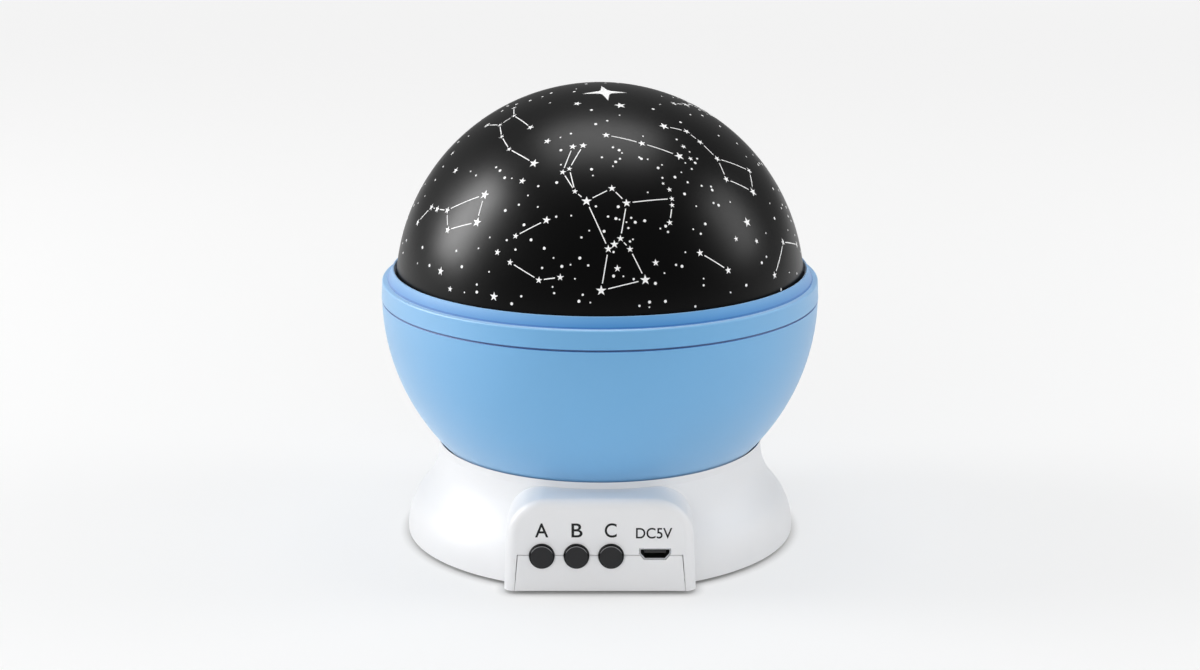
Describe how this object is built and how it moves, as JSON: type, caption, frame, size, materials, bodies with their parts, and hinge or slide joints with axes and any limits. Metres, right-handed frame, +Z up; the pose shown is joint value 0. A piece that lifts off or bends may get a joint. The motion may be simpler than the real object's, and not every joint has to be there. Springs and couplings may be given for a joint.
{
  "type": "planetarium projector",
  "caption": "Table-top star projector: a printed dome in a ring on a motor-turned bowl, over a round white base with push buttons and a low-voltage inlet.",
  "frame": {"origin": "on the bowl's axis, at the table that the rubber feet stand on", "axes": "+Z up along the bowl's axis; -Y is the front, with the buttons; +X is to the right seen from the front"},
  "size_m": [0.1252, 0.1252, 0.1309],
  "materials": {
    "bowl_blue": "satin blue moulded plastic",
    "dome_black": "black moulded plastic, satin, with a white print",
    "case_white": "white moulded plastic, semi-gloss",
    "inner_white": "matt white plastic that spreads the light",
    "button_charcoal": "charcoal plastic",
    "foot_rubber": "black rubber",
    "steel": "plated steel",
    "tinned_shell": "tinned steel shell",
    "board_green": "circuit board",
    "black_plastic": "black plastic",
    "grey_plastic": "grey plastic",
    "acetal": "natural acetal",
    "felt": "felt pad",
    "cell_jacket": "plain printed jacket on a steel can",
    "nickel": "nickel-plated spring steel",
    "lamp_clear": "clear epoxy lamp",
    "lamp_red": "red epoxy lamp",
    "lamp_green": "green epoxy lamp",
    "lamp_blue": "blue epoxy lamp",
    "lead_red": "red lead insulation",
    "lead_black": "black lead insulation",
    "lead_white": "white sleeve"
  },
  "bodies": {
    "base": {"base_housing": "case_white", "bottom_cover": "case_white", "rubber_feet": "foot_rubber", "case_screws": "steel", "aaa_cell_1": "cell_jacket", "aaa_cell_2": "cell_jacket", "aaa_cell_3": "cell_jacket", "aaa_cell_4": "cell_jacket", "battery_springs": "nickel", "contact_plates": "nickel", "tact_switches": "grey_plastic", "control_board": "board_green", "board_screws": "steel", "controller_chip": "black_plastic", "power_socket_shell": "tinned_shell", "power_socket_tongue": "black_plastic", "gear_motor": "steel", "motor_screws": "steel", "lamp_post": "inner_white", "post_screws": "steel", "thrust_washer": "acetal", "retaining_clip": "steel", "glide_pads": "felt", "lamp_holder": "inner_white", "lamp_board": "board_green", "lamp_screws": "steel", "lamp_white": "lamp_clear", "lamp_red": "lamp_red", "lamp_green": "lamp_green", "lamp_blue": "lamp_blue", "lamp_lead": "lead_white", "battery_lead_minus": "lead_black", "battery_lead_plus": "lead_red", "motor_lead_1": "lead_red", "motor_lead_2": "lead_black"},
    "bowl": {"bowl_shell": "bowl_blue", "ring_gear": "acetal", "gear_screws": "steel", "hub_bush": "acetal", "reflector_tray": "inner_white", "tray_screws": "steel"},
    "dome": {"dome_ring": "bowl_blue", "star_dome": "dome_black", "dome_screws": "steel"},
    "pinion": {"drive_pinion": "acetal", "motor_shaft": "steel"},
    "battery_door": {"battery_door": "case_white", "door_screw": "steel"},
    "button_a": {"button_a": "button_charcoal", "switch_plunger_a": "black_plastic"},
    "button_b": {"button_b": "button_charcoal", "switch_plunger_b": "black_plastic"},
    "button_c": {"button_c": "button_charcoal", "switch_plunger_c": "black_plastic"}
  },
  "joints": [
    {"name": "bowl_turn", "type": "hinge", "parent": "base", "child": "bowl", "pos_m": [0, 0, 0.03], "axis": [0, 0, 1], "continuous": true},
    {"name": "dome_twist", "type": "hinge", "parent": "bowl", "child": "dome", "pos_m": [0, 0, 0.0701], "axis": [0, 0, 1], "range_deg": [0, 22]},
    {"name": "pinion_turn", "type": "hinge", "parent": "base", "child": "pinion", "pos_m": [0, -0.0255, 0.024], "axis": [0, 0, 1], "continuous": true},
    {"name": "door_tip", "type": "hinge", "parent": "base", "child": "battery_door", "pos_m": [0, 0.03895, 0.0014], "axis": [1, 0, 0], "range_deg": [0, 60]},
    {"name": "press_a", "type": "slide", "parent": "base", "child": "button_a", "axis": [0, 1, 0], "range_m": [0, 0.0005], "stiffness_N_per_m": 300},
    {"name": "press_b", "type": "slide", "parent": "base", "child": "button_b", "axis": [0, 1, 0], "range_m": [0, 0.0005], "stiffness_N_per_m": 300},
    {"name": "press_c", "type": "slide", "parent": "base", "child": "button_c", "axis": [0, 1, 0], "range_m": [0, 0.0005], "stiffness_N_per_m": 300}
  ],
  "couplings": [
    {"joint": "pinion_turn", "follows": "bowl_turn", "ratio": -3}
  ]
}
